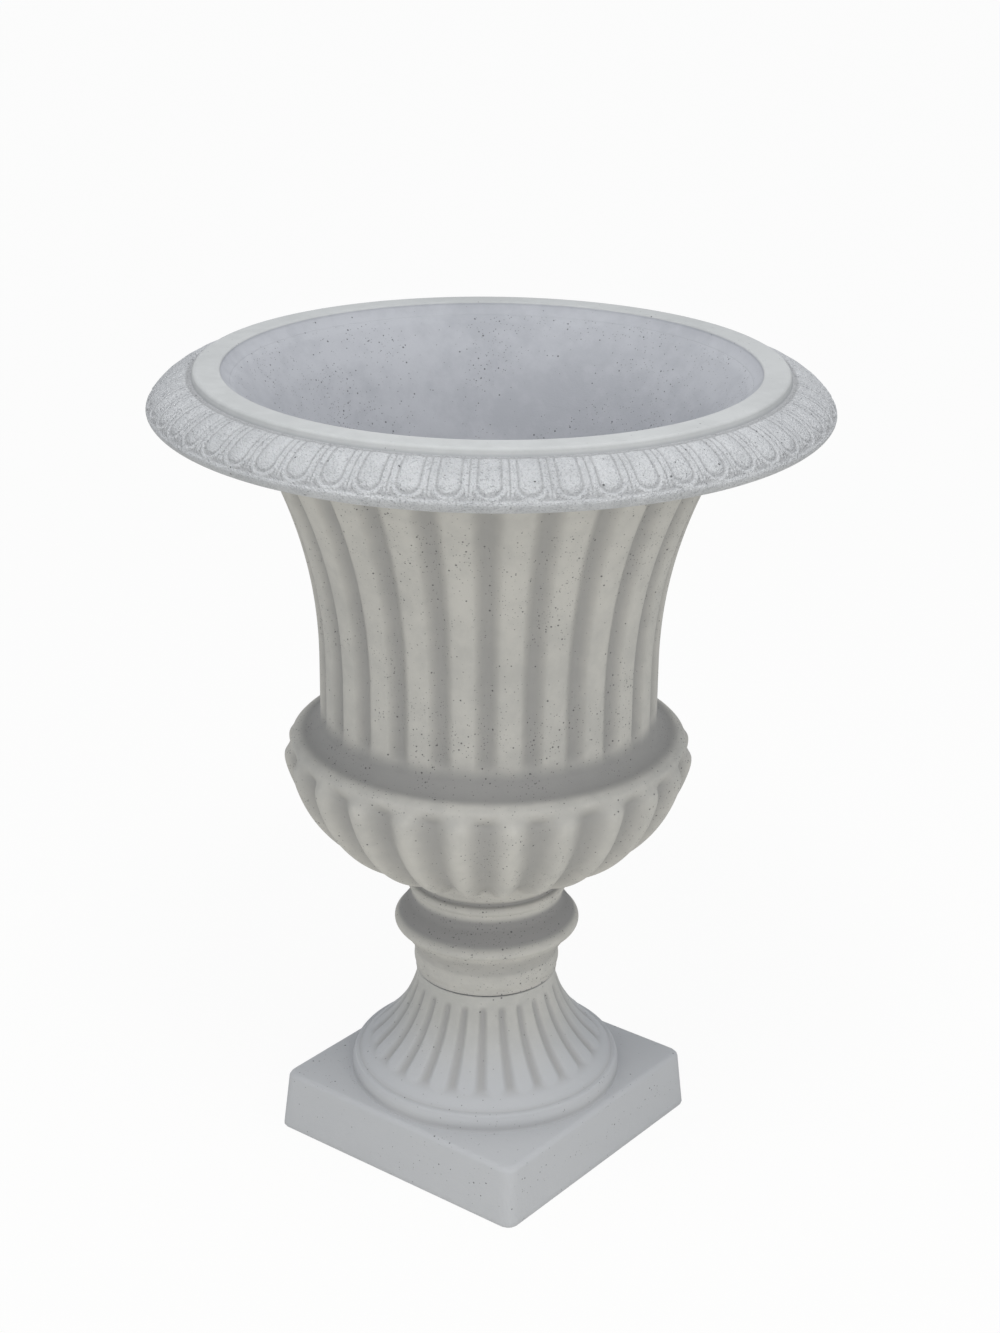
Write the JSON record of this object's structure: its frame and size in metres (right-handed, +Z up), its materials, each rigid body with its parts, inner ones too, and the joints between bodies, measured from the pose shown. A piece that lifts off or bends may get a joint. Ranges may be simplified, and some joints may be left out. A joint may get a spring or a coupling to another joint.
{
  "type": "urn planter",
  "caption": "Campana urn planter: ribbed flaring bowl with a carved overhanging rim and gadrooned base, on a trumpet foot with a square plinth.",
  "frame": {"origin": "centre of the plinth's underside, on the ground", "axes": "+Z up along the urn's turned axis, X and Y along the sides of the square plinth"},
  "size_m": [0.606, 0.606, 0.76],
  "materials": {
    "bowl_stone": "matt cast stone, finely pitted",
    "pedestal_stone": "matt cast stone, finely pitted",
    "gasket_rubber": "matt black rubber",
    "fastener_steel": "zinc-plated steel"
  },
  "bodies": {
    "root": {"bowl": "bowl_stone", "pedestal": "pedestal_stone", "joint_gasket": "gasket_rubber", "sealing_washer": "gasket_rubber", "bowl_washer": "fastener_steel", "tie_bolt": "fastener_steel", "cross_bar": "fastener_steel", "bar_washer": "fastener_steel", "lock_nut": "fastener_steel"}
  },
  "joints": []
}
